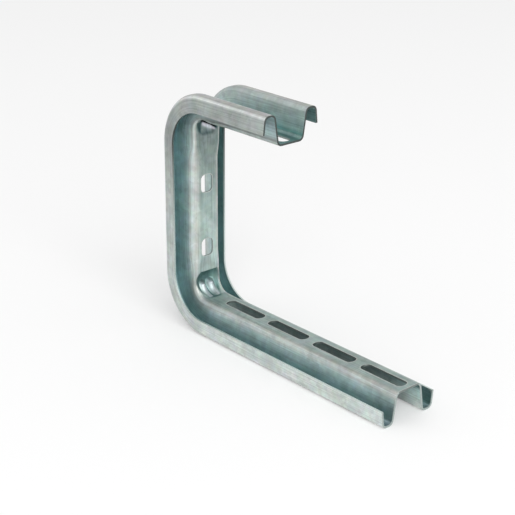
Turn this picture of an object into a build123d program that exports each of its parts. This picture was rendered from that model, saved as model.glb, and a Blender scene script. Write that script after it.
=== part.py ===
from build123d import *
import os
from math import atan2, cos, sin, sqrt, tan

# A folded-strip bracket for cable tray: one hat section strip bent into a C,
# with a short arm above, a long slotted arm below and a back with two fixing
# holes. The arms run along +X and the back stands along +Z. It is drawn with the
# wall at x = 0 and the long arm's feet on z = 0, and moved at the end so that the
# origin is midway between the two fixing holes. Lengths are in millimetres.

# Strip
sheet = 1.5                 # thickness of the galvanised strip
depth = 24.7                # from the flat web to the foot of the flanges

# Section, along the middle of the sheet, half widths from the centre plane
web_half = 11.9             # where the web would meet a flange
foot_half = 15.7            # flange at the foot
rim_root = 24.6             # foot of the outer rim
rim_half = 26.0             # free edge of the outer rim
rim_height = 13.8           # from the foot to the free edge
shoulder_radius = 6.5       # web to flange
curl_radius = 3.6           # both rounds at the foot
round_corners = 3           # a small round is drawn with so many corners

# Shape of the C
height = 197.5              # outside of the long arm to outside of the short arm
long_arm = 245.0            # wall to the end of the long arm
short_arm = 119.5           # wall to the end of the short arm
bend_radius = 45.0          # outside of both bends, at the foot of the section

# Slots in the long arm and the short arm
slot_width = 7.2
slot_length = 41.0
slot_pitch = 50.0
slot_count = 4
first_slot = 70.5           # centre of the first slot from the wall
short_slot_margin = 3.2     # end of the short arm to the end of its slot

# Fixing holes in the back
hole_width = 11.2
hole_height = 14.6
hole_side = -1.2            # the pair sits a little off the centre plane
lower_hole = 64.7           # centre above the foot of the long arm
hole_spacing = 54.0

# Inside of both bends, where the web turns tighter than the feet
web_bend = 10.0
web_lap = 0.1               # how far the tighter web laps past the flanges

# Pressed stiffening dimple inside both bends: the print of a wheel with sloped shoulders and
# two grooves, which leave ribs standing
dimple_radius = 12.4
dimple_floor = 5.0          # half width of its floor
dimple_half = 11.7          # half width at the wheel's sides
dimple_slope = 4.1          # drop from the floor to the sides
rib_near = -5.0             # crests of the two ribs from the centre plane
rib_far = 2.5
rib_half = 2.3              # half width of a rib at its foot
rib_height = 2.6
lower_axle_out = 8.0        # axle of the wheel from the corner of the web, along the arm
lower_axle_up = 12.1        # and along the back
upper_axle_out = 11.8       # the same two below the short arm
upper_axle_down = 10.6


def parallel(points, shift):
    """Corner points of a chain moved sideways by one distance, to its left."""
    sides = []
    for a, b in zip(points, points[1:]):
        length = sqrt((b[0] - a[0]) ** 2 + (b[1] - a[1]) ** 2)
        u = ((b[0] - a[0]) / length, (b[1] - a[1]) / length)
        sides.append((a[0] - u[1] * shift, a[1] + u[0] * shift, u, b, length))
    moved = [(sides[0][0], sides[0][1])]
    for one, two in zip(sides, sides[1:]):
        (px, py, u, _, _), (qx, qy, v, _, _) = one, two
        k = ((qx - px) * v[1] - (qy - py) * v[0]) / (u[0] * v[1] - u[1] * v[0])
        moved.append((px + u[0] * k, py + u[1] * k))
    px, py, u, _, length = sides[-1]
    moved.append((px + u[0] * length, py + u[1] * length))
    return moved


# Middle line of the sheet as (half width, height above the foot)
half = sheet / 2
middle = [
    (-rim_half, rim_height),
    (-rim_root, half),
    (-foot_half, half),
    (-web_half, depth - half),
    (web_half, depth - half),
    (foot_half, half),
    (rim_root, half),
    (rim_half, rim_height),
]
upper_side = parallel(middle, half)
lower_side = parallel(middle, -half)


def eased(points, radii):
    """A chain with its inner corners cut to flats around rounds, none where the radius is zero."""
    chain = [points[0]]
    for a, b, c, radius in zip(points, points[1:], points[2:], radii):
        if radius == 0:
            chain.append(b)
            continue
        into, out = Vector(*b) - Vector(*a), Vector(*c) - Vector(*b)
        turn = atan2(into.X * out.Y - into.Y * out.X, into.dot(out))
        into = into.normalized()
        spoke = Vector(into.Y, -into.X) * (radius if turn > 0 else -radius)
        centre = Vector(*b) - into * radius * tan(abs(turn) / 2) - spoke
        for k in range(round_corners):
            part = turn * (k + 0.5) / round_corners
            x = spoke.X * cos(part) - spoke.Y * sin(part)
            y = spoke.X * sin(part) + spoke.Y * cos(part)
            reach = cos(turn / (2 * round_corners))
            chain.append((centre.X + x / reach, centre.Y + y / reach))
    chain.append(points[-1])
    return chain


def rounded(outline, corners, radius):
    """Flat face with an arc at the listed corners."""
    face = make_face(Polyline(*[Vector(*p) for p in outline], close=True))
    for point in corners:
        corner = min(face.vertices(), key=lambda v: (v.center() - Vector(*point)).length)
        face = fillet(corner, radius)
    return face


# The shoulders are arcs where they are seen, and the small curls and the underside flats
over_round, under_round = shoulder_radius + half, shoulder_radius - half
curl_over, curl_under = [curl_radius - half] * 2, [curl_radius + half] * 2
over = eased(upper_side, curl_over + [0, 0] + curl_over)
under = eased(lower_side, curl_under + [under_round] * 2 + curl_under)
section = rounded(over + under[::-1], upper_side[3:5], over_round)


def run_of(face, reach, long_end, short_end):
    """A section carried round the C, its bends about axes at this reach from the feet."""
    lower_end = Plane(origin=(reach, 0, 0), x_dir=(0, 1, 0), z_dir=(1, 0, 0))
    back_foot = Plane(origin=(0, 0, reach), x_dir=(0, 1, 0), z_dir=(0, 0, -1))
    back_head = Plane(origin=(0, 0, height - reach), x_dir=(0, -1, 0), z_dir=(0, 0, 1))
    upper_end = Plane(origin=(reach, 0, height), x_dir=(0, -1, 0), z_dir=(1, 0, 0))
    pieces = [
        extrude(lower_end * face, long_end - reach),
        revolve(back_foot * face, Axis((reach, 0, reach), (0, 1, 0)), -90),
        extrude(back_foot * face, 2 * reach - height),
        revolve(back_head * face, Axis((reach, 0, height - reach), (0, 1, 0)), 90),
        extrude(upper_end * face, short_end - reach),
    ]
    return pieces[0] + pieces[1:]


body = run_of(section, bend_radius, long_arm, short_arm)

# In the bends the rolled web gives way to a tighter one, a little wider so that it
# still meets the flanges where it lies lower
tight_reach = depth + web_bend
flare = (foot_half - web_half) / (depth - sheet)
wider = flare * (sqrt(2) - 1) * (bend_radius - tight_reach) + web_lap
past_bend = bend_radius + sheet


def hat(side, top, foot, low):
    """Outline of a solid hat, from its web's half width and height to its foot's."""
    return [(-foot, low), (-side, top), (side, top), (foot, low)]


over_side = upper_side[4][0] + wider
over_hat = hat(over_side, depth, over_side + flare * depth, 0.0)
over_face = rounded(over_hat, over_hat[1:3], over_round)
under_side, under_top = lower_side[4][0] + wider, depth - sheet
under_hat = hat(under_side, under_top, under_side + flare * depth, -sheet)
under_face = make_face(Polyline(*eased(under_hat, [under_round, under_round]), close=True))
core_hat = hat(upper_side[4][0], depth, foot_half, 0.0)
core_face = rounded(core_hat, core_hat[1:3], over_round)
block_face = make_face(Polyline(*hat(foot_half, depth + sheet, foot_half, depth / 3), close=True))

tight_over = run_of(over_face, tight_reach, past_bend, past_bend)
tight_under = run_of(under_face, tight_reach, past_bend, past_bend)
core = run_of(core_face, bend_radius, past_bend, past_bend)
body -= run_of(block_face, bend_radius, past_bend, past_bend) - tight_over
body += (tight_over - tight_under) & core


def tread(side):
    """Radius of the wheel at a side, before its grooves."""
    outside = max(0.0, abs(side) - dimple_floor) / (dimple_half - dimple_floor)
    return dimple_radius - dimple_slope * outside


# Side view of the wheel that presses a dimple, as (side, distance from its axle)
print_line = [(-dimple_half, 0.0), (-dimple_half, tread(dimple_half))]
for rib in (rib_near, rib_far):
    print_line.append((rib - rib_half, tread(rib - rib_half)))
    print_line.append((rib, tread(rib) - rib_height))
    print_line.append((rib + rib_half, tread(rib + rib_half)))
print_line += [(dimple_half, tread(dimple_half)), (dimple_half, 0.0)]


def wheel(outline):
    """Solid turned about the Y axis from an outline that starts and ends on it."""
    face = make_face(Polyline(*outline, close=True))
    upright = Plane(origin=(0, 0, 0), x_dir=(0, 1, 0), z_dir=(1, 0, 0))
    return revolve(upright * face, Axis.Y, 360)


inner_form = wheel(print_line)
outer_form = wheel(parallel(print_line, sheet))
dimples = [
    Pos(depth + lower_axle_out, 0, depth + lower_axle_up),
    Pos(depth + upper_axle_out, 0, height - depth - upper_axle_down),
]
inside = core & tight_over
for place in dimples:
    body += (place * outer_form) & inside
for place in dimples:
    body -= place * inner_form

# Slots along the long arm and one in the short arm
slot = SlotOverall(slot_length, slot_width)
for i in range(slot_count):
    body -= Pos(first_slot + i * slot_pitch, 0, depth - 2 * sheet) * extrude(slot, 3 * sheet)
short_slot = short_arm - short_slot_margin - slot_length / 2
body -= Pos(short_slot, 0, height - depth - sheet) * extrude(slot, 3 * sheet)

# Upright fixing holes in the back
wall_plane = Plane(origin=(depth - 2 * sheet, hole_side, 0), x_dir=(0, 0, 1), z_dir=(1, 0, 0))
hole = extrude(wall_plane * SlotOverall(hole_height, hole_width), 3 * sheet)
for i in range(2):
    body -= Pos(0, 0, lower_hole + i * hole_spacing) * hole

# The origin is midway between the fixing holes, on the face their screw heads press
bracket = body.solids().sort_by(SortBy.VOLUME)[-1]
bracket = Pos(-depth, -hole_side, -lower_hole - hole_spacing / 2) * bracket
bracket.label = "bracket"
os.makedirs("parts", exist_ok=True)
export_step(bracket, "parts/bracket.step")
print("solids", len(body.solids()), "volume cm3", round(bracket.volume / 1000, 1), "valid", bracket.is_valid)
print("box", bracket.bounding_box())
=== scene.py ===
import bpy
import numpy as np
from math import cos, pi, radians, sin, sqrt, tan
from mathutils import Matrix, Vector


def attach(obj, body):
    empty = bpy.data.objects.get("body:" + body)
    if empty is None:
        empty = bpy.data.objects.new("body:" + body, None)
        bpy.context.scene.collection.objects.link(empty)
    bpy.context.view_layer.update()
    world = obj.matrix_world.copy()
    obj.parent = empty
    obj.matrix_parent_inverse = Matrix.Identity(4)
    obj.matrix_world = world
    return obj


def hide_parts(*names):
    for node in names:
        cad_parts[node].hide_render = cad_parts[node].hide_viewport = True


# Cable tray bracket: one strip of galvanised steel, rolled to a hat section and bent into a C.
# The shape is worked out in millimetres in a drawing frame with the wall at x = 0 and the
# long arm's feet on z = 0, and toFrame moves it to the frame of the CAD model.

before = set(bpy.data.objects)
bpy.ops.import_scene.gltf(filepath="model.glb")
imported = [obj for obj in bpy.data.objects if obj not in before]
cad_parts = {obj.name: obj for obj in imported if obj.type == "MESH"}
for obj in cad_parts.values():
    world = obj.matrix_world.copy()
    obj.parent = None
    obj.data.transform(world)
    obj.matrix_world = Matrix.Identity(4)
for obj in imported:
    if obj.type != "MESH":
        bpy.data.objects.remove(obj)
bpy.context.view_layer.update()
print("frame loaded:", sorted(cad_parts))

strip = {
    "sheet": 1.5,            # thickness
    "depth": 24.7,           # web face to foot
    "webHalf": 11.9,         # middle line of the sheet, half widths
    "footHalf": 15.7,
    "rimRoot": 24.6,
    "rimHalf": 26.0,
    "rimHeight": 13.8,
    "shoulder": 6.5,         # radii of the middle line
    "curl": 3.6,
    "squareShoulder": 2.0,   # and of a shoulder pressed wholly square
    "height": 197.5,         # outside sizes of the C
    "longArm": 245.0,
    "shortArm": 119.5,
    "bend": 45.0,            # outside of both bends
    "webBend": 10.0,         # the web's own tighter round inside them
    # how square the shoulders are: the long arm, the lower bend, the back, the upper bend and
    # the short arm
    "squareness": (0.62, 0.55, 0.0, 1.0, 0.6),
    "squareFade": 16.0,      # length over which one gives way to the next
    "bendSteps": 84,
    "armStep": 2.6,
    "backStep": 2.4,
    "moved": (-24.7, 1.2, -91.7),
}

# Cells across each straight of the section, from one free edge to the other, and each round
across = {"straights": (3, 2, 5, 34, 5, 2, 3), "rounds": (8, 8, 14, 14, 8, 8)}

holes = {
    "slot": (41.0, 7.2, 3.6),     # length along the strip, width, corner radius
    "hole": (14.6, 11.2, 3.6),
    "slotPanel": 23.0,       # half length of the panel meshed round a slot
    "slotRings": 6,          # rows of cells from its outline to the panel's edge
    "slotSpread": 0,         # shoulder cells that the panel takes in on each side
    "longSlots": (220.5, 170.5, 120.5, 70.5),
    "shortSlot": 95.8,
    "holeSide": -1.2,
    "holePanel": 12.0,
    "holeRings": 11,
    "holeSpread": 5,
    "wallHoles": (64.7, 118.7),
}

# Pressed stiffening dimple inside each bend: the print of a crowned wheel, with two ribs left
# standing. The axles are given from the corner of the web, along the arm and along the back.
dimple = {
    "radius": 12.4,
    "floor": 5.0,
    "half": 11.7,
    "crown": 1.6,            # softness of the wheel's shoulders
    "blend": 0.45,           # softness of the pressed edge
    # each print: its axle, the drop to its sides, its ribs with their half width and how much of
    # the print they leave standing, and where they stand in degrees from the arm's side, as
    # their rise, its turn with the side, and their end; then its painted shade and painted
    # highlight, see dimpleTone
    "lower": {"axle": (6.8, 11.6), "slope": 4.1,
              "ribs": (-4.4, 4.0), "ribHalf": 4.1, "ribShare": 0.8,
              "rise": (28, 33), "turn": 0.0, "end": (59, 69), "wall": 3.6,
              "darks": (1.2, 1.1, 1.1, 1.1), "ground": 0.18, "sheen": 0.0, "lit": 0.45},
    "upper": {"axle": (10.4, 8.2), "slope": 2.4,
              "ribs": (-5.8, 2.7), "ribHalf": 3.5, "ribShare": 0.25,
              "rise": (57, 59), "turn": 1.0, "end": (65, 74), "wall": -0.4,
              "darks": (6.0, 0.5, 1.4, 0.0), "ground": 0.0, "sheen": 1.0, "lit": 1.5},
}

finishing = {
    "edgeRound": 0.22,       # round of the cut edges
    "edgeSegments": 2,
    "edgeTurn": 50,          # degrees between two faces whose edge is rounded
    "unhighlighted": 12.0,        # distance by which the short arm's edges count as further off, so the painted edge highlight fades there
    "unhighlightedFrom": 0.95,    # share of the way to the upper bend at which that sets in
    "insideEnd": 30,         # mm from the long arm's end, and
    "aboveBend": 20,         # mm above the lower bend, where the tones are given
}

halfSheet = strip["sheet"] / 2
quarterTurn = strip["bend"] * pi / 2
lowerBendStart = strip["longArm"] - strip["bend"]
backStart = lowerBendStart + quarterTurn
backLength = strip["height"] - 2 * strip["bend"]
upperBendStart = backStart + backLength
shortStart = upperBendStart + quarterTurn
pathEnd = shortStart + strip["shortArm"] - strip["bend"]

# Stations along the strip at which its tones are given: the lower bend's start and middle, a
# little above it, and the upper bend's start and end, and with them the long arm's end, a little
# inside it and the short arm's end
bendStations = (lowerBendStart, (lowerBendStart + backStart) / 2,
                backStart + finishing["aboveBend"], upperBendStart, shortStart)
stations = (0, finishing["insideEnd"], *bendStations, pathEnd)

# Each opening's middle along the strip, its side and its kind
openings = [(strip["longArm"] - x, 0.0, "slot") for x in holes["longSlots"]]
openings += [(backStart + z - strip["bend"], holes["holeSide"], "hole")
             for z in holes["wallHoles"]]
openings.append((shortStart + holes["shortSlot"] - strip["bend"], 0.0, "slot"))


# Middle line of the sheet: straights between the corners, each corner replaced by an arc
# tangent to both, with the given number of cells on each and radius at the shoulders. Beside
# the points it gives their distance along the line, zero at its middle.
def sectionLine(straights, rounds, shoulder):
    w, d = strip, strip["depth"]
    halfLine = [(w["rimHalf"], w["rimHeight"]), (w["rimRoot"], halfSheet),
                (w["footHalf"], halfSheet), (w["webHalf"], d - halfSheet)]
    corners = np.array([(-y, h) for y, h in halfLine] + halfLine[::-1])
    radii = (w["curl"], w["curl"], shoulder, shoulder, w["curl"], w["curl"])
    line, run, start, done = [], [], corners[0], 0.0
    for i, radius in enumerate(radii):
        into = corners[i + 1] - corners[i]
        away = corners[i + 2] - corners[i + 1]
        into, away = into / np.hypot(*into), away / np.hypot(*away)
        turn = np.arctan2(into[0] * away[1] - into[1] * away[0], into @ away)
        reach = radius * tan(abs(turn) / 2)
        first = corners[i + 1] - into * reach
        side = np.sign(turn) * np.array((-into[1], into[0]))
        angle = np.linspace(0, abs(turn), rounds[i] + 1)
        arc = np.outer(np.sin(angle), into) + np.outer(1 - np.cos(angle), side)
        arc = first + radius * arc
        share = np.linspace(0, 1, straights[i] + 1)[:-1]
        length = np.hypot(*(first - start))
        line += [start + np.outer(share, first - start), arc[:-1]]
        run += [done + share * length, done + length + radius * angle[:-1]]
        start, done = arc[-1], done + length + radius * abs(turn)
    share = np.linspace(0, 1, straights[-1] + 1)
    line.append(start + np.outer(share, corners[-1] - start))
    run.append(done + share * np.hypot(*(corners[-1] - start)))
    run = np.concatenate(run)
    return np.concatenate(line), run - run[-1] / 2


roundSteps = 90
fineLine, fineAcross = sectionLine((1,) * 7, (roundSteps,) * 6, strip["shoulder"])
squareLine = sectionLine((1,) * 7, (roundSteps,) * 6, strip["squareShoulder"])[0]
# Which of the points start the rounds of one half: the shoulder's, the foot's and the rim's
shoulderRound, footRound, rimRound = (k * (roundSteps + 1) + 1 for k in (3, 4, 5))
webFlat = fineLine[shoulderRound, 0]
shoulderEnd, footStart = fineAcross[[shoulderRound + roundSteps, footRound]]
print("section: flat web", round(2 * webFlat, 1), "mm, strip",
      round(2 * fineAcross[-1], 1), "mm wide")


# How square the shoulders are at a distance along the strip: each stretch's own value, and a
# smooth step from one to the next just outside the bends
def squareAt(s):
    values, fade = strip["squareness"], strip["squareFade"]
    starts = (lowerBendStart - fade, backStart, upperBendStart - fade, shortStart)
    total = np.full_like(s, values[0])
    for start, before, after in zip(starts, values, values[1:]):
        share = np.clip((s - start) / fade, 0, 1)
        total += (after - before) * share ** 2 * (3 - 2 * share)
    return total


# Side and height above the foot of the middle line at a distance across the strip, between the
# rolled section and the one with square shoulders
def sectionAt(u, square):
    return [np.interp(u, fineAcross, fineLine[:, i]) * (1 - square)
            + np.interp(u, fineAcross, squareLine[:, i]) * square for i in (0, 1)]


# Smooth maximum of a value and zero: a parabola joins the two where the value is within k of zero
def softRise(value, k):
    share = np.clip(0.5 + 0.5 * value / k, 0, 1)
    return value * share + k * share * (1 - share)


# How far the web's tighter round lowers it at a turn of the bend: the reach from the bend's axis
# to the flats carried on, or to their fillet, less the reach before the bend
def tightDrop(turn):
    flat = strip["bend"] - strip["depth"] + halfSheet
    radius = strip["webBend"] + halfSheet
    offset = flat - radius
    t = np.minimum(turn, pi / 2 - turn)
    skew = t - pi / 4
    inside = radius ** 2 - 2 * (offset * np.sin(skew)) ** 2
    onRound = offset * sqrt(2) * np.cos(skew) + np.sqrt(inside)
    return np.where(np.tan(t) * flat < offset, flat / np.cos(t), onRound) - flat


# How far a value is on its way from a start to an end: a line from zero to one, flat past both
def ramp(value, start, end):
    return np.clip((value - start) / (end - start), 0, 1)


# How far a pressed dimple lowers the sheet: the reach of the wheel's circle along a ray from the
# bend's axis, less the reach of the sheet there, with the ribs left standing. Beside it, its
# painted shade and painted highlight.
def dimpleDrop(turn, y, height, one):
    out, along = (strip["bend"] - strip["depth"] - a for a in one["axle"])
    away, middle = np.hypot(out, along), np.arctan2(out, along)
    floor, half = dimple["floor"], dimple["half"]
    outside = softRise(np.abs(y) - floor, dimple["crown"]) / (half - floor)
    radius = dimple["radius"] - one["slope"] * outside + halfSheet
    under = radius ** 2 - (away * np.sin(turn - middle)) ** 2
    reach = away * np.cos(turn - middle) + np.sqrt(np.clip(under, 1e-6, None))
    drop = softRise(reach - (strip["bend"] - height), dimple["blend"])
    along = ribsAlong(turn, y, one)
    ribs = sum(np.clip(1 - ((y - place) / one["ribHalf"]) ** 2, 0, 1) ** 2
               for place in one["ribs"])
    tone = dimpleTone(drop, turn, y, ribs, along, one)
    return drop * (1 - one["ribShare"] * ribs * along[0] * along[1]), tone


# The two ends of the ribs at a turn: the share risen past the first, and not yet at the second
def ribsAlong(turn, y, one):
    turned = np.degrees(turn)
    (rise, risen), (end, ended) = one["rise"], one["end"]
    return ramp(turned - y * one["turn"], rise, risen), ramp(turned, ended, end)


# Painted shade and painted highlights inside the dimples. Sides are in mm from the centre plane,
# or past a rib's crest for the walls, and each pair is where a change starts and ends.
printTone = {
    "paintedPrintShading": "#8FA8A9",    # tint of the painted shade in the print, but for its ribs
    "paintedSheen": "#DADCE4",  # and of the painted highlight and sheen on its ribs
    "fullDepth": 0.9,        # depth of the print at which both are at their strongest
    "valley": 1.5,           # half width of the dark valley between the ribs
    "nearWall": 1.2,         # width over which the near wall grows dark
    "farWall": (2.6, 4.1),
    "farShare": 0.9,         # how dark the far wall is beside the near one
    "startSides": (-8, -5),  # sides over which the dark before the ribs sets in
    "paleSides": (3, 8),     # sides over which the dark at both ends of the ribs grows paler
    "paleShare": 0.45,
    # the sharp sheen and the soft one: share, degrees past the rise over which it goes, sides
    # over which it sets in
    "sheens": ((1.0, (6, 1), (-6, -3)), (0.4, (20, 0), (-1, 4))),
}


# Painted shade and painted highlight of a print, as the power of its dark tint, which stands
# for the shade on its walls, at its ends and in its valley, and the share of its bright one.
# The powers, called darks, are given before the ribs' rise, past their end, on the walls beyond
# them and in the valley between them, and ground is the least between rise and end. The near
# wall starts as far before the first crest as wall says. The painted highlight, as strong as
# lit, lies on the ribs, or where sheen is one it is a painted sheen that fades with the turn
# past their rise.
def dimpleTone(drop, turn, y, ribs, along, one):
    first, second = one["ribs"]
    before, past, wall, between = one["darks"]
    risen, lasting = along
    valley = ramp(np.abs(y - (first + second) / 2), printTone["valley"], 0)
    near = first - one["wall"]
    start, end = printTone["farWall"]
    walls = (ramp(y, near, near - printTone["nearWall"])
             + printTone["farShare"] * ramp(y, second + start, second + end))
    ends = (before * (1 - risen) * ramp(y, *printTone["startSides"])
            + risen * past * (1 - lasting))
    ends *= 1 - printTone["paleShare"] * ramp(y, *printTone["paleSides"])
    middle = np.maximum(one["ground"], np.maximum(between * valley, wall * walls))
    beyond = np.degrees(turn) - y * one["turn"] - one["rise"][1]
    sheen = np.max([share * ramp(beyond, *fading) * ramp(y, *sides)
                    for share, fading, sides in printTone["sheens"]], axis=0)
    bright = one["lit"] * risen * lasting * (ribs + (sheen - ribs) * one["sheen"])
    depth = ramp(drop, 0, printTone["fullDepth"])
    return np.stack([depth * (ends + risen * lasting * middle),
                     depth * np.clip(bright, 0, 1)], axis=-1)


# Point of the strip at distance s from the end of the long arm, side y and height above the
# foot: straight runs, and quarter turns about the two bend axes. The share says how far the
# point goes down with the tighter web, none at the feet and all at the shoulders, sliding
# along the slope of the flange. Beside the points it gives the prints' painted shade and
# painted highlight.
def alongPath(s, y, height, share):
    r = strip["bend"]
    lower = np.clip((s - lowerBendStart) / r, 0, pi / 2)
    upper = np.clip((s - upperBendStart) / r, 0, pi / 2)
    inLower = (s > lowerBendStart) & (s < backStart)
    inUpper = (s > upperBendStart) & (s < shortStart)
    turn = np.where(inLower, lower, upper)
    drop = np.where(inLower | inUpper, tightDrop(turn), 0) * share
    flare = (strip["footHalf"] - strip["webHalf"]) / (strip["depth"] - strip["sheet"])
    y = y + flare * drop * np.clip(y / webFlat, -1, 1)
    height = height - drop
    lowerPrint, lowerTone = dimpleDrop(lower, y, height, dimple["lower"])
    upperPrint, upperTone = dimpleDrop(pi / 2 - upper, y, height, dimple["upper"])
    height = height - np.where(inLower, lowerPrint, 0) * share
    height = height - np.where(inUpper, upperPrint, 0) * share
    # the prints' painted shade and painted highlight, only inside their bends
    paintedPrintShading = lowerTone * (inLower * share)[:, None] + upperTone * (inUpper * share)[:, None]
    reach = r - height
    top = strip["height"]
    x = np.select(
        [s < lowerBendStart, s < backStart, s < upperBendStart, s < shortStart],
        [strip["longArm"] - s, r - reach * np.sin(lower), height, r - reach * np.cos(upper)],
        r + s - shortStart)
    z = np.select(
        [s < lowerBendStart, s < backStart, s < upperBendStart, s < shortStart],
        [height, r - reach * np.cos(lower), r + s - backStart, top - r + reach * np.sin(upper)],
        top - height)
    return np.stack([x, y, z], axis=-1), paintedPrintShading


# Points moved from the drawing frame to the CAD model's, and from millimetres to metres
def toFrame(points):
    return (points + np.array(strip["moved"])) / 1000


# Lines across the strip: every run and bend is divided evenly, and a panel's ends are lines
def pathLines():
    ends = sorted([0, lowerBendStart, backStart, upperBendStart, shortStart, pathEnd]
                  + [centre + way * holes[kind + "Panel"]
                     for centre, _, kind in openings for way in (-1, 1)])
    lines = []
    for a, b in zip(ends, ends[1:]):
        bend = a in (lowerBendStart, upperBendStart)
        step = strip["backStep"] if backStart <= a < upperBendStart else strip["armStep"]
        count = strip["bendSteps"] if bend else max(1, round((b - a) / step))
        lines.append(np.linspace(a, b, count + 1)[:-1])
    return np.concatenate(lines + [[pathEnd]])


# Outline of a slot or hole, a rectangle with round corners, by share of its length round,
# starting at the middle of its far end. Each quarter is half an end, a corner and half a side.
def slotOutline(share, centre, side, sizes):
    length, width, corner = sizes
    halfEnd, arc, halfSide = width / 2 - corner, corner * pi / 2, length / 2 - corner
    quarter = halfEnd + arc + halfSide
    run = np.mod(share, 1) * 4
    part = np.floor(run).astype(int)
    step = np.where(part % 2 == 0, run - part, part + 1 - run) * quarter
    angle = np.clip(step - halfEnd, 0, arc) / corner
    s = halfSide + corner * np.cos(angle) - np.clip(step - halfEnd - arc, 0, None)
    u = np.minimum(step, halfEnd) + corner * np.sin(angle)
    s = np.where((part == 0) | (part == 3), s, -s)
    return np.stack([centre + s, side + np.where(part < 2, u, -u)], axis=-1)


# The developed strip as points (s, u) and quads: a grid whose panels are cut out and filled
# with rings that pass from the panel's edge to the outline of its slot or hole
def developedStrip():
    along = pathLines()
    u = sectionLine(across["straights"], across["rounds"], strip["shoulder"])[1]
    count, rows = len(u), len(along)
    index = np.arange(rows * count).reshape(rows, count)
    points = [np.stack(np.meshgrid(along, u, indexing="ij"), axis=-1).reshape(-1, 2)]
    whole = np.ones((rows - 1, count - 1), bool)
    webFirst = sum(across["straights"][:3]) + sum(across["rounds"][:3])
    webLast = webFirst + across["straights"][3]
    quads, total = [], rows * count
    for centre, side, kind in openings:
        half, spread = holes[kind + "Panel"], holes[kind + "Spread"]
        lowest, highest = webFirst - spread, webLast + spread
        first, last = np.searchsorted(along, [centre - half - 1e-6, centre + half - 1e-6])
        whole[first:last, lowest:highest] = False
        block = index[first:last + 1, lowest:highest + 1]
        around = np.concatenate([block[-1, :-1], block[:0:-1, -1], block[0, :0:-1], block[:-1, 0]])
        middle = np.argmin(np.hypot(points[0][around, 0] - centre - half, points[0][around, 1]))
        around = np.roll(around, -middle)
        edge = points[0][around]
        steps = np.hypot(*(np.roll(edge, -1, axis=0) - edge).T)
        share = np.concatenate([[0], np.cumsum(steps)[:-1]]) / steps.sum()
        outline = slotOutline(share, centre, side, holes[kind])
        rings = holes[kind + "Rings"]
        fade = (np.arange(rings) / rings)[:, None, None]
        fresh = outline + fade * (edge - outline)
        ringIndex = total + np.arange(rings * len(around)).reshape(rings, -1)
        ringIndex = np.concatenate([ringIndex, around[None]])
        total += rings * len(around)
        points.append(fresh.reshape(-1, 2))
        turned = np.roll(ringIndex, -1, axis=1)
        quads.append(np.stack([ringIndex[:-1], ringIndex[1:], turned[1:], turned[:-1]], -1))
    grid = np.stack([index[:-1, :-1], index[1:, :-1], index[1:, 1:], index[:-1, 1:]], -1)[whole]
    quads = np.concatenate([grid] + [q.reshape(-1, 4) for q in quads])
    used, quads = np.unique(quads, return_inverse=True)
    return np.concatenate(points)[used], quads.reshape(-1, 4)


# Distance of each point of the developed strip from the nearest cut edge: its ends, its rims
# and the outlines of the slots and holes. It grows towards the short arm, so that the painted
# highlight beside its edges fades.
def toCutEdge(points):
    s, u = points.T
    nearest = np.minimum(np.minimum(s, pathEnd - s), fineAcross[-1] - np.abs(u))
    for centre, middle, kind in openings:
        length, width, corner = holes[kind]
        beyond = np.clip(np.abs(s - centre) - length / 2 + corner, 0, None)
        beside = np.clip(np.abs(u - middle) - width / 2 + corner, 0, None)
        nearest = np.minimum(nearest, np.hypot(beyond, beside) - corner)
    further = np.clip(s / upperBendStart - finishing["unhighlightedFrom"], 0, None)
    return np.clip(nearest, 0, None) + finishing["unhighlighted"] * further


points, quads = developedStrip()
side, height = sectionAt(points[:, 1], squareAt(points[:, 0]))
downShare = np.interp(np.abs(points[:, 1]), [shoulderEnd, footStart], [1, 0])
# each point's place, and the painted shade and painted highlight of the prints
place, paintedPrintShading = alongPath(points[:, 0], side, height, downShare)
place = toFrame(place)

mesh = bpy.data.meshes.new("strip")
mesh.from_pydata(place.tolist(), [], quads.tolist())
mesh.validate()
uvs = mesh.uv_layers.new(name="rolled")
loopVertex = np.empty(len(mesh.loops), np.int32)
mesh.loops.foreach_get("vertex_index", loopVertex)
uvs.data.foreach_set("uv", (points[loopVertex] / 1000).astype(np.float32).ravel())
mesh.polygons.foreach_set("use_smooth", np.ones(len(mesh.polygons), bool))
bracket = bpy.data.objects.new("bracketStrip", mesh)
bpy.context.scene.collection.objects.link(bracket)
print("strip meshed:", len(points), "points,", len(quads), "quads")

thickness = bracket.modifiers.new("sheet", "SOLIDIFY")
thickness.thickness = strip["sheet"] / 1000
thickness.offset = 0
thickness.use_even_offset = True
thickness.material_offset = 1
thickness.material_offset_rim = 2
edges = bracket.modifiers.new("cutEdges", "BEVEL")
edges.width = finishing["edgeRound"] / 1000
edges.segments = finishing["edgeSegments"]
edges.limit_method = "ANGLE"
edges.angle_limit = radians(finishing["edgeTurn"])
edges.harden_normals = True


# One sRGB hex colour as linear red, green, blue and alpha
def colour(code):
    srgb = np.array([int(code[i:i + 2], 16) for i in (1, 3, 5)]) / 255
    linear = np.where(srgb <= 0.04045, srgb / 12.92, ((srgb + 0.055) / 1.055) ** 2.4)
    return (*linear.tolist(), 1.0)


# Adds one node: settings are its properties, inputs its sockets by name or place, each a
# value or another node's output
def addNode(tree, kind, settings=None, inputs=None):
    fresh = tree.nodes.new(kind)
    for name, value in (settings or {}).items():
        setattr(fresh, name, value)
    for name, value in (inputs or {}).items():
        if isinstance(value, bpy.types.NodeSocket):
            tree.links.new(value, fresh.inputs[name])
        else:
            fresh.inputs[name].default_value = value
    return fresh


# A new material and its node tree, emptied
def newTree(name):
    made = bpy.data.materials.new(name)
    made.use_nodes = True
    made.node_tree.nodes.clear()
    return made, made.node_tree
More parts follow.
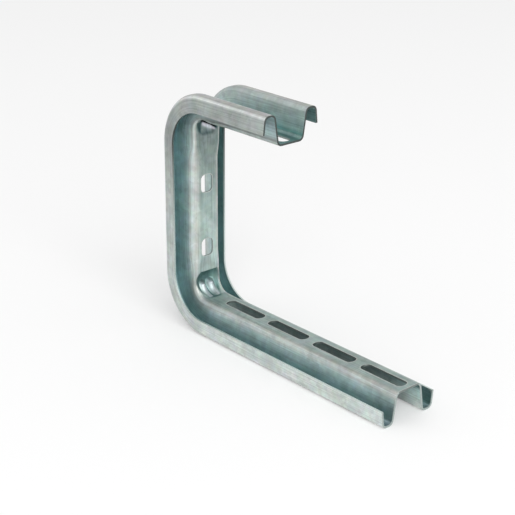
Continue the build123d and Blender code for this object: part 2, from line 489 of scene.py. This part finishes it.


# Hot-dip galvanised strip, cold rolled to its section: dull zinc, blue-grey in the groove and
# paler and warmer outside, partly its own tint and partly painted light and shade, with long
# marks from the rolls, a faint spangle and a painted highlight beside the cut edges
zinc = {
    # tones of each pattern beside the plain zinc, darkest and lightest
    "streakTones": (0.80, 1.14),
    "cloudTones": (0.82, 1.0),
    "crystalTones": (0.92, 1.06),
    "tarnishDepth": 0.2,     # of patches a little greener, bluer or redder
    # sizes in mm
    "streakWidth": 1.0,      # across the strip
    "streakLength": 60.0,    # along it
    "cloudSize": 16.0,
    "spangle": 3.4,          # across a crystal
    "tarnish": 7.0,
    "grain": 0.5,            # drawn coarser than the real coating's, so that it shows
    # shares of the noise between which the streaks and clouds go from dark to light
    "streakShares": (0.3, 0.7),
    "cloudShares": (0.35, 0.6),
    "crystalRough": (0.52, 0.61),    # roughness of one crystal and another
    "streakSmooth": -0.08,   # and how the streaks change it
    "streakBump": (0.25, 0.06),      # strength, and height in mm
    "grainBump": (0.2, 0.04),
    "edgeHighlight": "#D3D4D0",     # painted highlight beside the cut edges
    "edgeHighlightWidth": 0.9,
    "edgeHighlightShare": 0.6,
}


# The zinc of one side of the sheet: the side's own tone at each point, with its painted light
# and shade, times the streaks, the clouds and the crystals, tinted by the tarnish and with a
# painted highlight beside the cut edges
def galvanisedSteel(side):
    made, tree = newTree(side + "Zinc")
    z = zinc
    coords = addNode(tree, "ShaderNodeTexCoord")
    rolled = addNode(tree, "ShaderNodeUVMap", {"uv_map": "rolled"})
    lengthwise = addNode(tree, "ShaderNodeMapping", inputs={
        "Vector": rolled.outputs["UV"],
        "Scale": (1000 / z["streakLength"], 1000 / z["streakWidth"], 1)})
    streaks = addNode(tree, "ShaderNodeTexNoise", inputs={
        "Vector": lengthwise.outputs["Vector"], "Scale": 1.0, "Detail": 3.0, "Roughness": 0.6})
    clouds = addNode(tree, "ShaderNodeTexNoise", inputs={
        "Vector": coords.outputs["Object"], "Scale": 1000 / z["cloudSize"], "Detail": 4.0})
    crystals = addNode(tree, "ShaderNodeTexVoronoi", {"feature": "F1"}, {
        "Vector": coords.outputs["Object"], "Scale": 1000 / z["spangle"]})
    crystal = addNode(tree, "ShaderNodeSeparateColor", inputs={"Color": crystals.outputs["Color"]})
    grain = addNode(tree, "ShaderNodeTexNoise", inputs={
        "Vector": coords.outputs["Object"], "Scale": 1000 / z["grain"], "Detail": 2.0})
    patches = addNode(tree, "ShaderNodeTexNoise", inputs={
        "Vector": coords.outputs["Object"], "Scale": 1000 / z["tarnish"], "Detail": 3.0})

    # tones
    tone = addNode(tree, "ShaderNodeAttribute", {"attribute_name": side + "Tone"})
    streak = addNode(tree, "ShaderNodeMapRange", inputs={
        "Value": streaks.outputs["Fac"],
        "From Min": z["streakShares"][0], "From Max": z["streakShares"][1],
        "To Min": z["streakTones"][0], "To Max": z["streakTones"][1]})
    cloud = addNode(tree, "ShaderNodeMapRange", inputs={
        "Value": clouds.outputs["Fac"],
        "From Min": z["cloudShares"][0], "From Max": z["cloudShares"][1],
        "To Min": z["cloudTones"][0], "To Max": z["cloudTones"][1]})
    flake = addNode(tree, "ShaderNodeMapRange", inputs={
        "Value": crystal.outputs["Red"],
        "To Min": z["crystalTones"][0], "To Max": z["crystalTones"][1]})
    both = addNode(tree, "ShaderNodeMath", {"operation": "MULTIPLY"}, {
        0: streak.outputs["Result"], 1: cloud.outputs["Result"]})
    every = addNode(tree, "ShaderNodeMath", {"operation": "MULTIPLY"}, {
        0: both.outputs["Value"], 1: flake.outputs["Result"]})
    mottled = addNode(tree, "ShaderNodeVectorMath", {"operation": "SCALE"}, {
        0: tone.outputs["Color"], "Scale": every.outputs["Value"]})
    depth = z["tarnishDepth"]
    hue = addNode(tree, "ShaderNodeVectorMath", {"operation": "MULTIPLY_ADD"}, {
        0: patches.outputs["Color"], 1: (depth,) * 3, 2: (1 - depth / 2,) * 3})
    tarnished = addNode(tree, "ShaderNodeVectorMath", {"operation": "MULTIPLY"}, {
        0: mottled.outputs["Vector"], 1: hue.outputs["Vector"]})
    # painted highlight beside the cut edges, fading away from them
    edge = addNode(tree, "ShaderNodeAttribute", {"attribute_name": "cutEdge"})
    highlightShare = addNode(tree, "ShaderNodeMapRange", {"interpolation_type": "SMOOTHSTEP"}, {
        "Value": edge.outputs["Fac"], "From Min": 0.0, "From Max": z["edgeHighlightWidth"],
        "To Min": z["edgeHighlightShare"], "To Max": 0.0})
    highlighted = addNode(tree, "ShaderNodeMix", {"data_type": "RGBA"}, {
        0: highlightShare.outputs["Result"], 6: tarnished.outputs["Vector"], 7: colour(z["edgeHighlight"])})

    # sheen and relief
    rough = addNode(tree, "ShaderNodeMapRange", inputs={
        "Value": crystal.outputs["Green"],
        "To Min": z["crystalRough"][0], "To Max": z["crystalRough"][1]})
    roughness = addNode(tree, "ShaderNodeMath", {"operation": "MULTIPLY_ADD"}, {
        0: streaks.outputs["Fac"], 1: z["streakSmooth"], 2: rough.outputs["Result"]})
    ridges = addNode(tree, "ShaderNodeBump", inputs={
        "Strength": z["streakBump"][0], "Distance": z["streakBump"][1] / 1000,
        "Height": streaks.outputs["Fac"]})
    bumps = addNode(tree, "ShaderNodeBump", inputs={
        "Strength": z["grainBump"][0], "Distance": z["grainBump"][1] / 1000,
        "Height": grain.outputs["Fac"], "Normal": ridges.outputs["Normal"]})
    shader = addNode(tree, "ShaderNodeBsdfPrincipled", inputs={
        "Base Color": highlighted.outputs[2], "Metallic": 1.0,
        "Roughness": roughness.outputs["Value"], "Normal": bumps.outputs["Normal"]})
    addNode(tree, "ShaderNodeOutputMaterial", inputs={"Surface": shader.outputs["BSDF"]})
    return made


# Sheared edge of the strip: bare steel smeared with zinc by the blade, a little darker than
# the faces and finely torn
sheared = {
    "torn": "#8F9E9B",
    "smeared": "#CCD6D2",
    "roughness": 0.46,
    "tear": 0.7,             # mm across one
    "tearBump": (0.4, 0.08),         # strength, and height in mm
    # tones, which are painted light and shade: the short arm's end, in painted shade, is the
    # darkest
    "shortEnd": 0.2,
    "longEnd": (0.5, 0.95),  # at the web and the rest
    "webPast": 2.0,          # how far past its flat the web's one reaches
    "opening": 0.6,
    "rim": (1.3, 1.1, 1.3, 0.2, 0.25),   # at the stations of the bends
    "nearby": 0.05,          # how near an end or a rim its own points are
}


def shearedEdge():
    made, tree = newTree("shearedEdge")
    coords = addNode(tree, "ShaderNodeTexCoord")
    tears = addNode(tree, "ShaderNodeTexNoise", inputs={
        "Vector": coords.outputs["Object"], "Scale": 1000 / sheared["tear"], "Detail": 3.0})
    mixed = addNode(tree, "ShaderNodeMix", {"data_type": "RGBA"}, {
        0: tears.outputs["Fac"], 6: colour(sheared["torn"]), 7: colour(sheared["smeared"])})
    # the painted light and shade of each cut edge scales its colour
    share = addNode(tree, "ShaderNodeAttribute", {"attribute_name": "edgeTone"})
    tone = addNode(tree, "ShaderNodeVectorMath", {"operation": "SCALE"}, {
        0: mixed.outputs[2], "Scale": share.outputs["Fac"]})
    bumps = addNode(tree, "ShaderNodeBump", inputs={
        "Strength": sheared["tearBump"][0], "Distance": sheared["tearBump"][1] / 1000,
        "Height": tears.outputs["Fac"]})
    shader = addNode(tree, "ShaderNodeBsdfPrincipled", inputs={
        "Base Color": tone.outputs["Vector"], "Metallic": 1.0, "Roughness": sheared["roughness"],
        "Normal": bumps.outputs["Normal"]})
    addNode(tree, "ShaderNodeOutputMaterial", inputs={"Surface": shader.outputs["BSDF"]})
    return made


# Painted light and shade on the cut edge at a point: its own tone at each end, along the rims and
# round the openings
def edgeTones(s, u):
    tone = np.full_like(s, sheared["opening"])
    near = sheared["nearby"]
    atRim = np.abs(u) > fineAcross[-1] - near
    tone[atRim] = np.interp(s[atRim], bendStations, sheared["rim"])
    web, rest = sheared["longEnd"]
    atEnd = s < near
    tone[atEnd] = np.where(np.abs(u[atEnd]) < webFlat + sheared["webPast"], web, rest)
    tone[s > pathEnd - near] = sheared["shortEnd"]
    return tone.astype(np.float32)


# Colour of the zinc in each zone across the strip, from the middle of the web to the free edge
# of a rim: pale outside, and greener and darker in the groove between hat and rim and inside
# the hat. This is partly the zinc's own tint and partly painted light and shade: painted shade
# deep in the groove, inside the hat and in the shade zone under the short arm's rim, and painted
# highlights on the shoulders and on the curls' ridge. One side of the sheet faces the groove and
# the other is under it. Beside each colour stands its tone at each station along the strip.
tintAndPaintedLight = {
    "groove": {
        "web": ("#A9BAB6", (0.84, 0.86, 0.90, 1.18, 1.32, 0.64, 0.80, 0.80)),
        "shoulder": ("#CACEC9", (0.82, 0.80, 0.82, 0.92, 1.02, 0.96, 0.92, 0.95)),
        "upperFlange": ("#BAC5C3", (1.08, 1.10, 1.10, 0.92, 1.58, 1.45, 0.95, 0.98)),
        "shade": ("#BBC1BE", (1.18, 1.20, 1.20, 0.95, 1.88, 1.50, 0.34, 0.62)),
        "flange": ("#A7BABA", (1.18, 1.28, 1.26, 0.90, 1.66, 1.62, 0.85, 1.05)),
        "foot": ("#A2BCBF", (0.70, 1.35, 1.40, 1.18, 1.18, 1.15, 0.85, 1.00)),
        # the ridge tones hold a painted highlight along the curls' outer crease
        "ridge": ("#9CBCBA", (0.55, 0.95, 1.05, 1.05, 0.90, 0.85, 0.75, 0.75)),
        "rim": ("#9CBCBA", (0.60, 0.95, 1.00, 1.00, 0.80, 0.78, 0.68, 0.66)),
    },
    "under": {
        # low tones along the long arm are painted shade inside the hat
        "web": ("#7A9C9B", (0.62, 0.52, 0.52, 0.60, 0.70, 0.75, 0.82, 0.84)),
        "shoulder": ("#93B0AE", (0.22, 0.22, 0.22, 0.40, 0.80, 0.85, 0.86, 0.86)),
        "upperFlange": ("#9CB9B7", (0.30, 0.20, 0.20, 0.40, 0.85, 0.88, 0.88, 0.90)),
        "shade": ("#92C6C4", (0.40, 0.48, 0.48, 0.45, 0.88, 0.90, 0.90, 0.92)),
        "flange": ("#C0DAD8", (1.20, 0.44, 0.43, 0.62, 1.00, 0.95, 0.86, 0.90)),
        "foot": ("#C6C8C5", (1.32, 0.66, 0.66, 1.05, 0.95, 0.78, 0.80, 0.80)),
        "ridge": ("#D3D6D5", (1.14, 1.12, 1.08, 1.06, 1.00, 1.02, 1.20, 1.18)),
        "rim": ("#C2CAC7", (1.38, 1.34, 1.16, 1.08, 1.04, 0.74, 0.73, 0.82)),
    },
}


# Where the zones of half the strip have their full tone: at shares of the shoulder's round, at mm
# past it, and at shares of the round between foot and rim
zones = {
    "shoulderRound": ((0, "web"), (0.5, "shoulder"), (0.867, "upperFlange"), (1, "shade")),
    "pastShoulder": (3.2, "flange"),
    "rimRound": ((0, "foot"), (0.333, "foot"), (0.6, "ridge"), (0.9, "rim")),
}


# The zones' names and their distances from the middle of the web
def zoneStops():
    stops = [(0, "web")]
    stops += [(fineAcross[shoulderRound + round(share * roundSteps)], name)
              for share, name in zones["shoulderRound"]]
    past, name = zones["pastShoulder"]
    stops.append((shoulderEnd + past, name))
    stops += [(fineAcross[rimRound + round(share * roundSteps)], name)
              for share, name in zones["rimRound"]]
    return stops + [(fineAcross[-1], "rim")]


# The colours of one side, with their painted light and shade: each zone's own at its stop, times
# its tone at the stations, blended evenly from one to the next both ways. The groove's side has
# the prints' painted shade and painted highlight too.
def zincTones(s, u, side):
    stops, names = zip(*zoneStops())
    tones = np.zeros((len(s), 4))
    for name, weights in zip(names, np.eye(len(stops))):
        code, along = tintAndPaintedLight[side][name]
        weight = np.interp(np.abs(u), stops, weights)
        tones += np.outer(weight * np.interp(s, stations, along), colour(code))
    if side == "groove":
        # the prints' painted shade darkens this side and their painted highlight lightens it
        dark, bright = paintedPrintShading.T[:, :, None]
        shadeTint, sheenColour = (np.array(colour(printTone[name])) for name in ("paintedPrintShading", "paintedSheen"))
        tones *= shadeTint ** dark
        tones += (sheenColour - tones) * bright
    tones[:, 3] = 1
    return tones.astype(np.float32)


edgeDistance = mesh.attributes.new("cutEdge", "FLOAT", "POINT")
edgeDistance.data.foreach_set("value", toCutEdge(points).astype(np.float32))
edgeTone = mesh.attributes.new("edgeTone", "FLOAT", "POINT")
edgeTone.data.foreach_set("value", edgeTones(*points.T))
for side in ("under", "groove"):
    zincTone = mesh.attributes.new(side + "Tone", "FLOAT_COLOR", "POINT")
    zincTone.data.foreach_set("color", zincTones(*points.T, side).ravel())
    mesh.materials.append(galvanisedSteel(side))
mesh.materials.append(shearedEdge())
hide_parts("bracket")
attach(bracket, "root")
print("materials made")

studio = {
    "floorLevel": -0.0917,
    "floorSize": 8.0,
    "floorColour": "#FAFAFA",
    "floorGlow": 0.2,        # share of plain white in the floor where it is looked at
    "worldStrength": 0.76,
    # each lamp's brightness beside white, and its width, height and place in metres
    "lamps": {
        "keyLight": (2.6, 4.0, 3.6, (3.4, -1.6, 2.2)),
        "fillLight": (0.15, 4.2, 2.8, (-2.4, -2.9, 1.8)),
    },
    "aim": (0.09, 0.0, 0.0),
}


# One where the camera, a reflection or a clear material looks, and zero for light on a surface.
# By it the world is full white where it is seen, and the floor a little whiter.
def lookedAt(tree):
    path = addNode(tree, "ShaderNodeLightPath")
    seen = addNode(tree, "ShaderNodeMath", {"operation": "MAXIMUM"}, {
        0: path.outputs["Is Camera Ray"], 1: path.outputs["Is Glossy Ray"]})
    seen = addNode(tree, "ShaderNodeMath", {"operation": "MAXIMUM"}, {
        0: seen.outputs["Value"], 1: path.outputs["Is Transmission Ray"]})
    return seen.outputs["Value"]


# A matt white floor under the long arm's feet, which keeps the shadow
def makeFloor():
    size, level = studio["floorSize"] / 2, studio["floorLevel"]
    sheet = bpy.data.meshes.new("floor")
    sheet.from_pydata([(-size, -size, level), (size, -size, level), (size, size, level),
                       (-size, size, level)], [], [(0, 1, 2, 3)])
    floor = bpy.data.objects.new("floor", sheet)
    bpy.context.scene.collection.objects.link(floor)
    made, tree = newTree("paperFloor")
    paper = addNode(tree, "ShaderNodeBsdfDiffuse", inputs={"Color": colour(studio["floorColour"])})
    white = addNode(tree, "ShaderNodeEmission", inputs={"Color": (1, 1, 1, 1), "Strength": 1.0})
    glow = addNode(tree, "ShaderNodeMapRange", inputs={
        "Value": lookedAt(tree), "To Min": 0.0, "To Max": studio["floorGlow"]})
    mixed = addNode(tree, "ShaderNodeMixShader", inputs={
        0: glow.outputs["Result"], 1: paper.outputs["BSDF"], 2: white.outputs["Emission"]})
    addNode(tree, "ShaderNodeOutputMaterial", inputs={"Surface": mixed.outputs["Shader"]})
    sheet.materials.append(made)


# White all round where it is seen, and somewhat less as light
def makeWorld():
    world = bpy.data.worlds.new("studio")
    world.use_nodes = True
    tree = world.node_tree
    tree.nodes.clear()
    strength = addNode(tree, "ShaderNodeMapRange", inputs={
        "Value": lookedAt(tree), "To Min": studio["worldStrength"], "To Max": 1.0})
    sky = addNode(tree, "ShaderNodeBackground", inputs={
        "Color": (1, 1, 1, 1), "Strength": strength.outputs["Result"]})
    addNode(tree, "ShaderNodeOutputWorld", inputs={"Surface": sky.outputs["Background"]})
    bpy.context.scene.world = world


# A lamp's power from its brightness beside white, over its own area
def makeLamps():
    for name, (brightness, width, tall, spot) in studio["lamps"].items():
        lamp = bpy.data.lights.new(name, "AREA")
        lamp.shape, lamp.size, lamp.size_y = "RECTANGLE", width, tall
        lamp.energy = brightness * pi * width * tall
        holder = bpy.data.objects.new(name, lamp)
        holder.location = spot
        away = Vector(spot) - Vector(studio["aim"])
        holder.rotation_euler = away.to_track_quat("Z", "Y").to_euler()
        bpy.context.scene.collection.objects.link(holder)


makeFloor()
makeWorld()
makeLamps()
bpy.context.scene.view_settings.view_transform = "Standard"

# The photograph's camera: angles in degrees about the target, distances in metres, a long lens
shot = {
    "azimuth": 48.49,
    "elevation": 21.94,
    "roll": 0.356,
    "distance": 1.01028,
    "target": (0.05954, 0.0012, -0.01839),
    "lens": 91.62,
    "sensor": 36,
}


# The camera looks along its own back axis, which the azimuth and elevation give, rolled about it
def makeCamera():
    a, e, r = (radians(shot[name]) for name in ("azimuth", "elevation", "roll"))
    back = Vector((sin(a) * cos(e), -cos(a) * cos(e), sin(e)))
    right = Vector((0, 0, 1)).cross(back).normalized()
    up = back.cross(right)
    right, up = right * cos(r) + up * sin(r), up * cos(r) - right * sin(r)
    lens = bpy.data.cameras.new("photographCamera")
    lens.lens, lens.sensor_width = shot["lens"], shot["sensor"]
    lens.clip_start, lens.clip_end = 0.01, 50
    camera = bpy.data.objects.new("photographCamera", lens)
    turned = Matrix((right, up, back)).transposed().to_4x4()
    place = Vector(shot["target"]) + back * shot["distance"]
    camera.matrix_world = Matrix.Translation(place) @ turned
    bpy.context.scene.collection.objects.link(camera)
    bpy.context.scene.camera = camera


makeCamera()
print("studio set")
